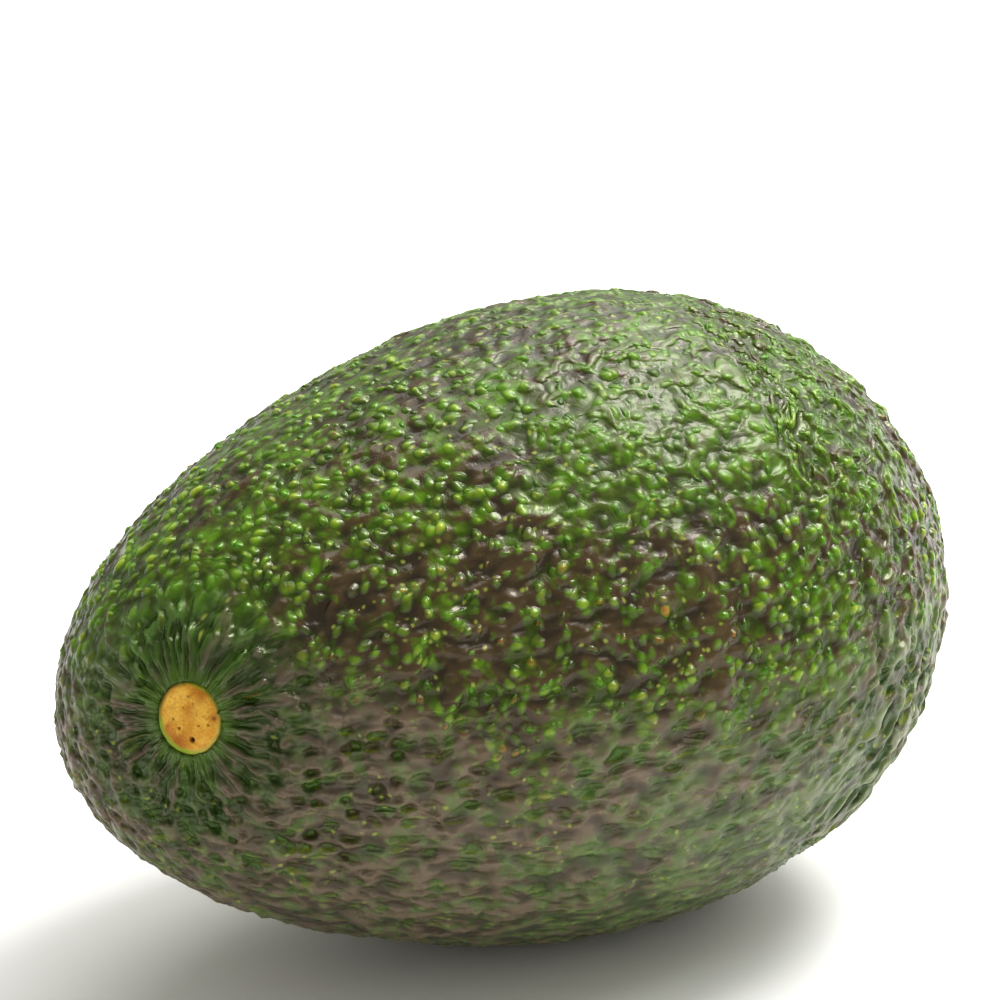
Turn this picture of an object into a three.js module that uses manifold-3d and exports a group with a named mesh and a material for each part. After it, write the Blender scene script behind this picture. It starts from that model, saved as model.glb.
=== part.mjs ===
// A whole avocado lying on its side, as picked: the fruit, with its pebbled skin, and the clipped
// stub of its stem, which sits in a socket set obliquely in the narrow end.
// Millimetres, +Z up. The origin is the middle of the small flat spot that the fruit rests on, and
// +X runs towards the blunt blossom end.

import * as THREE from 'three';
import { ConvexHull } from 'three/addons/math/ConvexHull.js';
import { mergeVertices } from 'three/addons/utils/BufferGeometryUtils.js';
import Module from 'manifold-3d';

const { degToRad, lerp, smoothstep } = THREE.MathUtils;

// ---- driving dimensions ----------------------------------------------------------------------

const LENGTH = 101.6; // stem end to blossom end, along the fruit's own axis
const GIRTH_RADIUS = 34.05; // the fruit's greatest radius
const TAPER = 0.189; // how much fuller the blossom half is than the stem half
const TAPER_CUBIC = -0.071; // eases that fullness off again at the two ends
const REST_TILT = degToRad(3); // how far the stem end is tipped down
const FOOT_DEPTH = 0.55; // how far the resting spot is pressed in

const STEM_OFFSET = 14.5; // from the fruit's axis to the middle of the stem stub
const STEM_ROLL = degToRad(22); // that middle's height, as an angle round the axis
const STEM_LEAN = degToRad(35); // between the stub and the fruit's axis
const STUB_RADIUS = 3.7; // the stub's cut face
const STUB_WAIST = 3.2; // its radius below the flare under that face
const STUB_DEPTH = 4.2; // how far it is sunk in the fruit
const STUB_FLARE = 1.9; // how far below the face the flare starts
const STUB_EDGE = 0.5; // height of the face's rounded edge
const STUB_CROWN = 0.55; // height of its dome
const STUB_SIDES = 40;
const SOCKET_GAP = 0.3; // between the stub and the fruit, all round

const SHOULDER_RADIUS = 22; // the rounded shoulder that carries the stub faces along the stub
const SHOULDER_REACH = [4, 14]; // it is whole inside the first radius and gone past the second
const HOLLOW_DEPTH = 0.9; // the shallow hollow round the stub
const HOLLOW_RADIUS = 9;

const RIDGES = 24; // furrowed ridges that spread from the stub
const RIDGE_RINGS = [4.6, 6.4, 8.8, 11.8, 15.2]; // distances from the stub's middle
const RIDGE_RISE = [0.1, 0.3, 0.5, 0.5, 0.35]; // the tallest ridge at each of them
const RIDGE_SHARES = [0.55, 1]; // the lowest and the tallest ridge, as shares of that
const FURROW_SHARE = -0.35; // and the furrows between them
const RIDGE_SWAY = 0.35; // share of a ridge's half width that it may stand off an even fan

const PEBBLES = 1780; // raised pebbles over the whole skin, less those at its two ends
const PEBBLE_RISE = [0.45, 1.05]; // of the lowest and the highest, from the valleys between them
const VALLEY_DEPTH = 0.26; // of those valleys, under the plain egg
const UNDERSIDE_SHARE = 0.6; // how much of this relief is left at the bottom
const PEBBLE_SHAKE = 0.55; // share of a pebble's width that it may stand off an even spiral
const SETTLING = 2; // passes that even out the spaces between them
const PEBBLE_MARGIN = 1.5; // between the pebbles and the outer ring at either end
const SMOOTH_FOOT = [8, 14]; // the skin is smooth within the first radius of the resting spot

const SCAR_RINGS = [1.1, 2.3, 4.6]; // the dry nub of the flower, in its dimple
const SCAR_RISE = [0.25, -0.7, -0.35];
const SCAR_NUB = 0.4; // height of its middle
const SCAR_SIDES = 10;
const SEED = 11;

// ---- the plain egg, in the fruit's own frame: x along its axis, stem end at -x ---------------

const HALF = LENGTH / 2;
const fullness = (u) => Math.sqrt(Math.max(0, 1 - u * u)) * (1 + TAPER * u + TAPER_CUBIC * u ** 3);
const STATIONS = Array.from({ length: 801 }, (_, i) => -1 + i / 400);
const GREATEST = Math.max(...STATIONS.map(fullness));
const eggRadius = (u) => (GIRTH_RADIUS * fullness(u)) / GREATEST;
const eggPoint = (u, angle) =>
  new THREE.Vector3(HALF * u, eggRadius(u) * Math.cos(angle), eggRadius(u) * Math.sin(angle));
const outsideEgg = (p) => Math.abs(p.x) >= HALF || Math.hypot(p.y, p.z) > eggRadius(p.x / HALF);

// The egg's point on a ray that starts inside it, by halving.
function meetEgg(from, direction) {
  let near = 0;
  let far = LENGTH;
  for (let i = 0; i < 40; i++) {
    const middle = (near + far) / 2;
    if (outsideEgg(from.clone().addScaledVector(direction, middle))) far = middle;
    else near = middle;
  }
  return from.clone().addScaledVector(direction, near);
}

const onEgg = (p) => meetEgg(new THREE.Vector3(), p.clone().normalize());
const stemwards = new THREE.Vector3(-1, 0, 0);
const blossomwards = new THREE.Vector3(1, 0, 0);
const blossomTip = new THREE.Vector3(HALF, 0, 0);

// The way out of the skin, taken from the ellipsoid of the egg's own length and girth.
const outwardAt = (p) =>
  new THREE.Vector3(p.x * (GIRTH_RADIUS / HALF) ** 2, p.y, p.z).normalize();

// ---- the stem's seat -------------------------------------------------------------------------

const stemSide = new THREE.Vector3(0, -Math.cos(STEM_ROLL), Math.sin(STEM_ROLL));
const stemAxis = stemwards
  .clone()
  .multiplyScalar(Math.cos(STEM_LEAN))
  .addScaledVector(stemSide, Math.sin(STEM_LEAN));
const stemSeat = meetEgg(stemSide.clone().multiplyScalar(STEM_OFFSET), stemwards);
const acrossStem = new THREE.Vector3().crossVectors(stemAxis, stemSide).normalize();
const upStem = new THREE.Vector3().crossVectors(acrossStem, stemAxis);

// How far a point lies from the stem's line, or Infinity on the far side of the fruit.
function fromStem(p) {
  const away = p.clone().sub(stemSeat);
  const along = away.dot(stemAxis);
  return along < -GIRTH_RADIUS ? Infinity : away.addScaledVector(stemAxis, -along).length();
}

// Turns the end of the egg into a shoulder that faces along the stem, with a hollow in it.
function shouldered(p) {
  const d = fromStem(p);
  if (d > SHOULDER_REACH[1]) return p.clone();
  const along = p.clone().sub(stemSeat).dot(stemAxis);
  const cap = Math.sqrt(SHOULDER_RADIUS ** 2 - d * d) - SHOULDER_RADIUS;
  const share = 1 - smoothstep(d, ...SHOULDER_REACH);
  const hollow = HOLLOW_DEPTH * (1 - smoothstep(d, 0, HOLLOW_RADIUS));
  return p.clone().addScaledVector(stemAxis, share * (cap - along) - hollow);
}

// ---- the points of the skin: where each lies on the egg, and how far it rises from it --------

// Repeatable random numbers from 0 to 1 (mulberry32).
function seeded(seed) {
  let state = seed;
  return () => {
    state = (state + 0x6d2b79f5) | 0;
    let t = Math.imul(state ^ (state >>> 15), 1 | state);
    t = (t + Math.imul(t ^ (t >>> 7), 61 | t)) ^ t;
    return ((t ^ (t >>> 14)) >>> 0) / 2 ** 32;
  };
}

// Stations along the axis, from -1 to 1, with equal areas of skin between them.
function evenStations(count) {
  const areas = [0];
  for (let i = 1; i < STATIONS.length; i++) {
    const [a, b] = [STATIONS[i - 1], STATIONS[i]];
    const slant = Math.hypot((b - a) * HALF, eggRadius(b) - eggRadius(a));
    areas.push(areas[i - 1] + slant * (eggRadius(a) + eggRadius(b)));
  }
  let i = 1;
  return Array.from({ length: count }, (_, n) => {
    const wanted = ((n + 0.5) / count) * areas.at(-1);
    while (areas[i] < wanted) i++;
    const share = (wanted - areas[i - 1]) / (areas[i] - areas[i - 1]);
    return lerp(STATIONS[i - 1], STATIONS[i], share);
  });
}

// The triangles of a convex set of points, as triples of places in the list.
function hullTriples(points) {
  const place = new Map(points.map((p, i) => [p, i]));
  return new ConvexHull().setFromPoints(points).faces.map((face) => {
    const corners = [face.edge, face.edge.next, face.edge.next.next];
    return corners.map((edge) => place.get(edge.head().point));
  });
}

const middleOf = (points) =>
  points.reduce((sum, p) => sum.add(p), new THREE.Vector3()).divideScalar(points.length);

// Moves each point to the middle of the triangles round it.
function settled(points) {
  const round = points.map(() => []);
  for (const triple of hullTriples(points)) {
    const middle = middleOf(triple.map((i) => points[i]));
    triple.forEach((i) => round[i].push(middle));
  }
  return round.map((middles) => onEgg(middleOf(middles)));
}

const clearOfEnds = (p) =>
  fromStem(p) > RIDGE_RINGS.at(-1) + PEBBLE_MARGIN &&
  p.distanceTo(blossomTip) > SCAR_RINGS.at(-1) + PEBBLE_MARGIN;

// Pebble tops, on a golden-angle spiral shaken out of its order.
function pebbleTops(random) {
  const goldenAngle = Math.PI * (3 - Math.sqrt(5));
  const pebbleWidth = Math.sqrt((4 * Math.PI * GIRTH_RADIUS * HALF) / PEBBLES);
  const shake = () => (random() - 0.5) * 2 * PEBBLE_SHAKE * pebbleWidth;
  let places = evenStations(PEBBLES).map((u, n) =>
    onEgg(eggPoint(u, n * goldenAngle).add(new THREE.Vector3(shake(), shake(), shake()))),
  );
  for (let pass = 0; pass < SETTLING; pass++) places = settled(places);
  return places
    .filter(clearOfEnds)
    .map((at) => ({ at, rise: lerp(...PEBBLE_RISE, random()) - VALLEY_DEPTH }));
}

// Valley points, one in the middle of each three pebbles that meet.
const valleysBetween = (tops) =>
  hullTriples(tops.map((top) => top.at))
    .map((triple) => onEgg(middleOf(triple.map((i) => tops[i].at))))
    .filter(clearOfEnds)
    .map((at) => ({ at, rise: -VALLEY_DEPTH }));

// Rings of points round the stub, ridge and furrow by turns.
function ridgePoints(random) {
  const inside = stemSeat.clone().addScaledVector(stemAxis, -GIRTH_RADIUS / 2);
  const turns = Array.from(
    { length: 2 * RIDGES },
    (_, i) => ((i + RIDGE_SWAY * random()) * Math.PI) / RIDGES,
  );
  return RIDGE_RINGS.flatMap((radius, ring) =>
    turns.map((turn, i) => {
      const from = inside
        .clone()
        .addScaledVector(acrossStem, radius * Math.cos(turn))
        .addScaledVector(upStem, radius * Math.sin(turn));
      const share = i % 2 ? FURROW_SHARE : lerp(...RIDGE_SHARES, random());
      return { at: meetEgg(from, stemAxis), rise: RIDGE_RISE[ring] * share };
    }),
  );
}

// Rings of points round the blossom end's scar, with its nub in the middle.
function scarPoints() {
  const rings = SCAR_RINGS.flatMap((radius, ring) =>
    Array.from({ length: SCAR_SIDES }, (_, i) => {
      const turn = ((i + ring / 2) * 2 * Math.PI) / SCAR_SIDES;
      const from = new THREE.Vector3(HALF / 2, radius * Math.cos(turn), radius * Math.sin(turn));
      return { at: meetEgg(from, blossomwards), rise: SCAR_RISE[ring] };
    }),
  );
  return [...rings, { at: blossomTip, rise: SCAR_NUB }];
}

// ---- the resting pose ------------------------------------------------------------------------

// The egg's lowest point once the stem end is tipped down, and the pose that puts it at the origin.
const tipped = new THREE.Matrix4().makeRotationY(-REST_TILT);
const lowest = STATIONS.map((u) => eggPoint(u, -Math.PI / 2).applyMatrix4(tipped)).reduce((a, b) =>
  b.z < a.z ? b : a,
);
const restPose = new THREE.Matrix4()
  .makeTranslation(-lowest.x, 0, -lowest.z - FOOT_DEPTH)
  .multiply(tipped);
const foot = new THREE.Vector3().applyMatrix4(restPose.clone().invert());

// ---- solids ----------------------------------------------------------------------------------

const wasm = await Module();
wasm.setup();

function solidFrom(geometry) {
  const bare = geometry.clone();
  bare.deleteAttribute('normal');
  bare.deleteAttribute('uv');
  const merged = mergeVertices(bare);
  return new wasm.Manifold(
    new wasm.Mesh({
      numProp: 3,
      vertProperties: new Float32Array(merged.attributes.position.array),
      triVerts: new Uint32Array(merged.index.array),
    }),
  );
}

function geometryFrom(solid) {
  const mesh = solid.getMesh();
  const geometry = new THREE.BufferGeometry();
  geometry.setAttribute('position', new THREE.BufferAttribute(mesh.vertProperties, 3));
  geometry.setIndex(new THREE.BufferAttribute(mesh.triVerts, 1));
  geometry.computeVertexNormals();
  return geometry;
}

// The fruit as it grew, before the foot and the socket are cut.
function pebbledEgg() {
  const random = seeded(SEED);
  const tops = pebbleTops(random);
  const skin = [...tops, ...valleysBetween(tops), ...ridgePoints(random), ...scarPoints()];
  const raised = skin.map(({ at, rise }) => {
    const height = lerp(UNDERSIDE_SHARE, 1, smoothstep(at.z, -GIRTH_RADIUS, 0));
    const bare = smoothstep(at.distanceTo(foot), ...SMOOTH_FOOT);
    return shouldered(at).addScaledVector(outwardAt(at), rise * height * bare).applyMatrix4(restPose);
  });
  const geometry = new THREE.BufferGeometry().setFromPoints(raised);
  geometry.setIndex(hullTriples(skin.map((point) => point.at)).flat());
  return geometry;
}

// A turned shape with the stub's flank, grown by a gap, under the given top. It stands along +Z,
// with the rim of the stub's face at z = 0.
function turned(gap, top) {
  const flank = [
    [0, -STUB_DEPTH - gap],
    [STUB_WAIST + gap, -STUB_DEPTH - gap],
    [STUB_WAIST + gap, -STUB_FLARE],
    [STUB_RADIUS + gap, -STUB_EDGE],
  ];
  const outline = [...flank, ...top].map(([r, z]) => new THREE.Vector2(r, z));
  return new THREE.LatheGeometry(outline, STUB_SIDES).rotateX(Math.PI / 2);
}

// The stub's cut face: a low dome that runs over into a rounded edge, as a superellipse.
function domedFace() {
  const steps = 8;
  const power = 2 / 3;
  return Array.from({ length: steps }, (_, i) => {
    const turn = ((i + 1) / steps) * (Math.PI / 2);
    const r = i === steps - 1 ? 0 : STUB_RADIUS * Math.cos(turn) ** power;
    return [r, -STUB_EDGE + (STUB_EDGE + STUB_CROWN) * Math.sin(turn) ** power];
  });
}

// The stub's place: its face looks along the stem, in the bottom of the hollow.
const stubPlace = new THREE.Matrix4()
  .makeTranslation(stemSeat.clone().addScaledVector(stemAxis, -HOLLOW_DEPTH))
  .multiply(
    new THREE.Matrix4().makeRotationFromQuaternion(
      new THREE.Quaternion().setFromUnitVectors(new THREE.Vector3(0, 0, 1), stemAxis),
    ),
  )
  .premultiply(restPose);

const ground = new THREE.BoxGeometry(2 * LENGTH, 2 * LENGTH, LENGTH).translate(0, 0, -LENGTH / 2);
const mouth = [
  [STUB_RADIUS + SOCKET_GAP, STUB_DEPTH],
  [0, STUB_DEPTH],
];
const socket = turned(SOCKET_GAP, mouth).applyMatrix4(stubPlace);

const fruit = new THREE.Mesh(
  geometryFrom(solidFrom(pebbledEgg()).subtract(solidFrom(ground)).subtract(solidFrom(socket))),
  new THREE.MeshStandardMaterial({ color: 0x4c5a2c, roughness: 0.42, metalness: 0 }),
);
fruit.name = 'fruit';

const stub = new THREE.Mesh(
  turned(0, domedFace()),
  new THREE.MeshStandardMaterial({ color: 0xc99a3e, roughness: 0.75, metalness: 0 }),
);
stub.name = 'stem_button';
stub.applyMatrix4(stubPlace);

const avocado = new THREE.Group();
avocado.add(fruit, stub);

export default avocado;
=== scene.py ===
"""A whole avocado lying on its side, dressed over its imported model.

Two pieces are made here: the fruit's skin, a pebbled and waxy egg with furrows that spread from
the stem, and the clipped, corky stub of the stem in its socket. Sizes are in metres unless a name
or a comment says millimetres. +Z is up, and the origin is the middle of the resting spot.
"""

import math

import bpy
from mathutils import Matrix, Vector, noise


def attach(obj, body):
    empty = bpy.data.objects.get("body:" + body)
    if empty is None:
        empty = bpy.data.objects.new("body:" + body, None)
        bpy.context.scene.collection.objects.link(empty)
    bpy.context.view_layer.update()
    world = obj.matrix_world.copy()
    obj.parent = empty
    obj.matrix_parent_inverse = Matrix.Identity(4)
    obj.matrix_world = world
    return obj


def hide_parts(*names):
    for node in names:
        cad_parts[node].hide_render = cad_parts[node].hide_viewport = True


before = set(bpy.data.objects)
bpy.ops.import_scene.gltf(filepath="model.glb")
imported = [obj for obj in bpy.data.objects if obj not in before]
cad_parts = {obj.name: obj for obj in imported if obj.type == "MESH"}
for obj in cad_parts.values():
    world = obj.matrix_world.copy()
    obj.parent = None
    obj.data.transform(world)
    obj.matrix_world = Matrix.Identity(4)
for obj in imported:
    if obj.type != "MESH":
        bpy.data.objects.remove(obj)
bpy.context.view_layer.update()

bl_info = {
    "name": "Avocado dressing",
    "version": (1, 0, 0),
    "blender": (4, 5, 0),
    "location": "3D View > Sidebar > Avocado",
    "description": "Makes the pebbled skin and the corky stem stub of a whole avocado",
    "category": "Add Mesh",
}

MM = 0.001
AXIS_X = Vector((1, 0, 0))
BODY = "root"
CENTRING = (-0.5,) * 3  # brings a noise's middle to nought


# ---- small helpers ----


def linear(hex_colour):
    """An sRGB colour such as "#4c5a2c" as linear RGBA."""
    parts = [int(hex_colour[i : i + 2], 16) / 255 for i in (1, 3, 5)]
    curve = [p / 12.92 if p <= 0.04045 else ((p + 0.055) / 1.055) ** 2.4 for p in parts]
    return (*curve, 1.0)


def adder(tree):
    """Returns a function that adds a node to the tree, with its settings and links.

    A shader node's kind may be given short, with its operation after a dot. Inputs go in order to
    the sockets that the settings leave on, and those in a dict at the end go by the sockets' names.
    """

    def add(kind, *inputs, **settings):
        kind, _, operation = kind.partition(".")
        node = tree.nodes.new(kind if "Node" in kind else "ShaderNode" + kind)
        if operation:
            node.operation = operation
        for name, value in settings.items():
            setattr(node, name, value)
        entries = [s for s in node.inputs if s.enabled]
        named = inputs[-1] if inputs and isinstance(inputs[-1], dict) else {}
        pairs = list(zip(entries, inputs[:-1] if named else inputs))
        pairs += [(next(s for s in entries if s.name == key), named[key]) for key in named]
        for entry, value in pairs:
            if isinstance(value, bpy.types.Node):
                value = next(s for s in value.outputs if s.enabled)
            if isinstance(value, bpy.types.NodeSocket):
                tree.links.new(value, entry)
            else:
                entry.default_value = value
        return node

    return add


def add_masks(add, fields, masks, easing="SMOOTHSTEP"):
    """Adds a table's masks to the fields, each read from one of them: name, source, where it starts
    and is whole, and the least and most that it gives."""
    for name, source, *span in masks:
        fields[name] = add("MapRange", fields[source], *span, interpolation_type=easing)


def add_products(add, fields, products):
    """Adds a table's products to the fields, each of the fields that it names."""
    for name, (first, *others) in products.items():
        product = fields[first]
        for other in others:
            product = add("Math.MULTIPLY", product, fields[other])
        fields[name] = product


def new_material(name):
    """An empty material of this name, and the function that adds nodes to it."""
    material = bpy.data.materials.new(name)
    material.use_nodes = True
    material.node_tree.nodes.clear()
    return material, adder(material.node_tree)


def millimetres(name, description, default):
    """A length that the user can change, given here in mm."""
    return bpy.props.FloatProperty(
        name=name, description=description, default=default * MM, unit="LENGTH", precision=5
    )


def degrees(name, description, default):
    """An angle that the user can change, given here in degrees."""
    return bpy.props.FloatProperty(
        name=name, description=description, default=math.radians(default), subtype="ANGLE"
    )


def colour(name, description, default):
    """A colour that the user can change, given here as sRGB hex."""
    settings = {"default": linear(default), "subtype": "COLOR", "size": 4, "min": 0, "max": 1}
    return bpy.props.FloatVectorProperty(name=name, description=description, **settings)


# ---- the sizes and colours that a user would change ----


class AvocadoForm(bpy.types.PropertyGroup):
    """The fruit's outline, its pose and the stem's place"""

    length: millimetres("Length", "Stem end to blossom end", 101.6)
    girth_radius: millimetres("Girth radius", "Greatest radius", 34.05)
    taper: bpy.props.FloatProperty(
        name="Taper", description="How much fuller the blossom half is", default=0.189
    )
    taper_cubic: bpy.props.FloatProperty(
        name="Taper, cubic", description="Eases that fullness off at the ends", default=-0.071
    )
    rest_tilt: degrees("Rest tilt", "How far the stem end is tipped down", 3)
    foot_depth: millimetres("Foot depth", "How far the resting spot is pressed in", 0.55)
    stem_offset: millimetres("Stem offset", "From the fruit's axis to the stub's middle", 14.5)
    stem_roll: degrees("Stem roll", "That middle's height, as an angle round the axis", 22)
    stem_lean: degrees("Stem lean", "Between the stub and the fruit's axis", 35)
    stub_radius: millimetres("Stub radius", "Of its cut face", 3.66)
    stub_waist: millimetres("Stub waist", "Radius under its flare", 3.2)
    stub_depth: millimetres("Stub depth", "How far it is sunk", 4.2)
    stub_flare: millimetres("Stub flare", "How far under the face its flare starts", 1.9)
    stub_edge: millimetres("Stub edge", "How far the face's rounded edge runs down", 0.5)
    stub_crown: millimetres("Stub crown", "How far the face's middle stands up", 0.55)
    socket_gap: millimetres("Socket gap", "Round the stub", 0.06)
    shoulder_radius: millimetres("Shoulder radius", "Of the rounded end that faces along the stub", 22)
    shoulder_core: millimetres("Shoulder core", "Radius inside which the shoulder is whole", 4)
    shoulder_reach: millimetres("Shoulder reach", "Radius at which it has run out", 14)
    hollow_depth: millimetres("Hollow depth", "Of the dip round the stub", 0.9)
    hollow_radius: millimetres("Hollow radius", "Of that dip", 9)


class AvocadoRelief(bpy.types.PropertyGroup):
    """Widths and heights of the skin's relief"""

    pebble_width: millimetres("Pebble width", "Spacing of pebbles", 1.28)
    pebble_height: millimetres("Pebble height", "Of a full pebble", 0.4)
    fold_width: millimetres("Fold width", "Spacing of folds in the ground", 2.0)
    fold_height: millimetres("Fold height", "Of those folds", 0.64)
    crest_height: millimetres("Crest height", "Of the sharper wrinkles", 0.14)
    furrow_width: millimetres("Furrow width", "Spacing of furrows round the stem", 1.2)
    furrow_height: millimetres("Furrow height", "Of those furrows", 1.35)
    pit_width: millimetres("Pit width", "Spacing of pits underneath", 1.18)
    pit_depth: millimetres("Pit depth", "Of those pits", 0.48)
    grain_width: millimetres("Grain width", "Coarsest of the fine unevenness", 2.4)
    grain_height: millimetres("Grain height", "Of the fine unevenness", 0.22)
    lump_width: millimetres("Lump width", "Spacing of broad lumps", 9)
    lump_height: millimetres("Lump height", "Of broad lumps", 0.84)


class AvocadoSkinColours(bpy.types.PropertyGroup):
    """Colours of the skin, each with a green and a ripe state"""

    ground_green: colour("Ground, green", "Between pebbles", "#466c06")
    ground_ripe: colour("Ground, ripe", "Between pebbles", "#44351c")
    flank: colour("Pebble flank", "Lower side of a pebble", "#366e08")
    top_deep: colour("Pebble, deep green", "Top of the greenest pebbles", "#44820e")
    top_light: colour("Pebble, light green", "Top of the lightest pebbles", "#8e9e2a")
    top_ripe: colour("Pebble, ripe", "Top of a ripe pebble", "#6a5630")
    top_rust: colour("Pebble, rusty", "Top of the few rusty pebbles", "#9c5626")
    # The underside's greyer, paler colours are partly the smoother skin's own and partly a painted sheen
    # of the pale floor's reflection.
    underside_green_and_sheen: colour("Underside, green", "Smoother skin underneath", "#56643e")
    underside_ripe_and_sheen: colour("Underside, ripe", "Smoother skin underneath", "#6c5e4e")
    # The pits' colours are painted shade: a darker colour laid into the sunken pits.
    pit_shade_green: colour("Pit shade, green", "In the pits underneath", "#365a10")
    pit_shade_ripe: colour("Pit shade, ripe", "In the pits underneath", "#383416")
    pit_shade_faded: colour("Pit shade, faded", "In the pits near the blossom end", "#385428")
    # The pit lip colour is painted light: the lower lip of a pit that is lit from above.
    pit_lit_lip: colour("Pit lit lip", "Edge of some pits", "#7e8c2c")
    # The furrow colour is painted shade in the low parts round the stem.
    furrow_shade: colour("Furrow", "Low parts round the stem", "#1e340c")
    furrow_high: colour("Furrow ridge", "High parts round the stem", "#48692c")
    furrow_ripe: colour("Furrow ridge, ripe", "High parts round the stem where ripe", "#5c5040")
    # Pale wax and a painted sheen: the whitish colour stands partly for light caught on the ridges near
    # the blossom end.
    bloom: colour("Bloom", "Pale wax on the ridges near the blossom end", "#949c84")
    collar: colour("Collar", "Skin that touches the stub", "#426218")
    lenticel: colour("Lenticel", "Breathing pores", "#a2b048")
    gloss_green: colour("Gloss, green", "Tint of the wax's gloss", "#e8f4b8")
    gloss_ripe: colour("Gloss, ripe", "Tint of the wax's gloss", "#f6ece0")


class AvocadoStubColours(bpy.types.PropertyGroup):
    """Colours of the stem stub"""

    cork_dark: colour("Cork, dark", "Darker clouds of the cut face", "#c47e06")
    cork_light: colour("Cork, light", "Lighter clouds of the cut face", "#ecba48")
    speck: colour("Speck", "Fine specks in the cork", "#8c5a1c")
    stain: colour("Stain", "Where sap has dried", "#a05804")
    pore: colour("Pore", "Darkening in the open vessels", "#5a3208")
    bark_green: colour("Bark, green", "Edge of the face", "#84981a")
    bark_dried: colour("Bark, dried", "Edge of the face where it has dried", "#6e5a1c")
    bark_faded: colour("Bark, faded", "Edge of the face where it has faded", "#b7a94c")


# ---- the egg and the stem's place in it ----

STATIONS = [-1 + i / 400 for i in range(801)]  # along the axis, from stem end to blossom end
HALVINGS = 40


class Plan:
    """The fruit's outline and the stem's place, in the fruit's own frame: x along its axis."""

    def __init__(self, form):
        self.form = form
        self.half = form.length / 2
        girths = [self.fullness(u) * math.sqrt(1 - u * u) for u in STATIONS]
        self.scale = form.girth_radius / max(girths)
        side = Vector((0, -math.cos(form.stem_roll), math.sin(form.stem_roll)))
        self.stem_axis = -AXIS_X * math.cos(form.stem_lean) + side * math.sin(form.stem_lean)
        self.stem_seat = side * form.stem_offset - AXIS_X * self.station_of(form.stem_offset)
        self.across = self.stem_axis.cross(side).normalized()
        self.up = self.across.cross(self.stem_axis)
        tipped = Matrix.Rotation(-form.rest_tilt, 4, "Y")
        keel = [tipped @ Vector((self.half * u, 0, -self.radius(u))) for u in STATIONS]
        lowest = min(keel, key=lambda p: p.z)
        drop = Vector((-lowest.x, 0, -lowest.z - form.foot_depth))
        self.rest_pose = Matrix.Translation(drop) @ tipped

    def fullness(self, u):
        return 1 + self.form.taper * u + self.form.taper_cubic * u**3

    def radius(self, u):
        return self.scale * math.sqrt(1 - u * u) * self.fullness(u)

    def egg_point(self, u, angle):
        radius = self.radius(u)
        return Vector((self.half * u, -radius * math.cos(angle), radius * math.sin(angle)))

    def station_of(self, radius):
        """How far from the middle the stem half is this thin, by halving."""
        near, far = 0.0, 1.0
        for _ in range(HALVINGS):
            middle = (near + far) / 2
            if self.radius(-middle) > radius:
                near = middle
            else:
                far = middle
        return near * self.half


# ---- the skin's layout: where each kind of relief and colour lies ----

# Noises of the layout: size in mm, detail and roughness.
LAYOUT_NOISES = {
    "drift": (14.0, 2.0, 0.5),
    "sway": (3.4, 1.0, 0.5),
    "blotch": (10.0, 4.0, 0.7),
}
LUMP_DETAIL = 2.0
LEVEL_WANDER, ALONG_WANDER = 22.0, 30.0  # mm that borders stray by, for the whole of the noise
NET_RISE, END_RISE = -8.0, -3.5  # mm that the underside's border rises near the stem and the blossom end
BEHIND = (-30.0, -46.0, 100.0)  # mm down the stem's line: from here on its surroundings count as far off
GRAIN_REACH = 11.0  # mm: how far out of the stem's line the fanned grain is read
GRAIN_DRAW, GRAIN_START = 0.35, -9.5  # along the furrows the grain goes by this much slower, mm
BLOTCH_SHARE = 3.0
SLANT = (0.6, -0.36, 0.71)  # the way that folds and pits are drawn out at the blossom end
SLANT_MIDDLE, SLANT_SHARE = 20.0, -0.42  # mm that way to where they stay, and by how much
UNDER_FROM, UNDER_WHOLE = 6.5, -8.0  # mm up: where the smoother underside starts and is whole
SWAY_PLAIN, SWAY_WRINKLED = 1.8, 3.2  # mm that the grain is swayed by, for the whole of the noise

# Masks of the layout: name, source, where it starts and is whole, in mm or as a share of the
# noise, and the least and most that it gives.
LAYOUT_MASKS = (
    ("opened", "distance", 8.0, 16.5, 0.0, 1.0),  # where the fan round the stem gives way
    ("near stem", "distance", 17.0, 7.0, 0.0, 1.0),
    ("ring in", "distance", 7.5, 12.0, 0.0, 1.0),  # the netted ring some way off the stem
    ("ring out", "distance", 31.0, 17.0, 0.0, 1.0),
    ("band", "level", -13.0, -4.0, 0.0, 0.9),  # a netted band along its upper border
    ("end", "ahead", 15.0, 30.0, 0.0, 1.4),  # the blossom end, netted too
    ("tip", "ahead", 48.0, 34.0, 0.15, 1.0),  # but smoother again at its very tip
    ("cap", "ahead", 48.0, 38.0, 0.25, 1.0),  # where pebbles reach round the tip
    ("loose", "drift", 0.62, 0.44, 0.08, 0.5),  # netting elsewhere
    ("blunt", "ahead", -16.0, 2.0, 0.0, 1.0),
    ("high", "level", 12.0, 20.0, 0.0, 1.0),
    ("lower", "height", 27.0, 14.0, 0.2, 0.8),  # riper lower down
    ("belly", "height", -24.0, -9.0, 0.2, 1.0),  # fewer pits right underneath
    ("turned", "across", 4.0, -10.0, 0.15, 1.0),  # and past the stem
)
LAYOUT_PRODUCTS = {
    "wrinkled": ("blunt", "high"),
    "ring": ("ring in", "ring out"),
    "netted ring": ("ring", "belly", "turned"),
    "blossom": ("end", "tip"),
}

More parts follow.
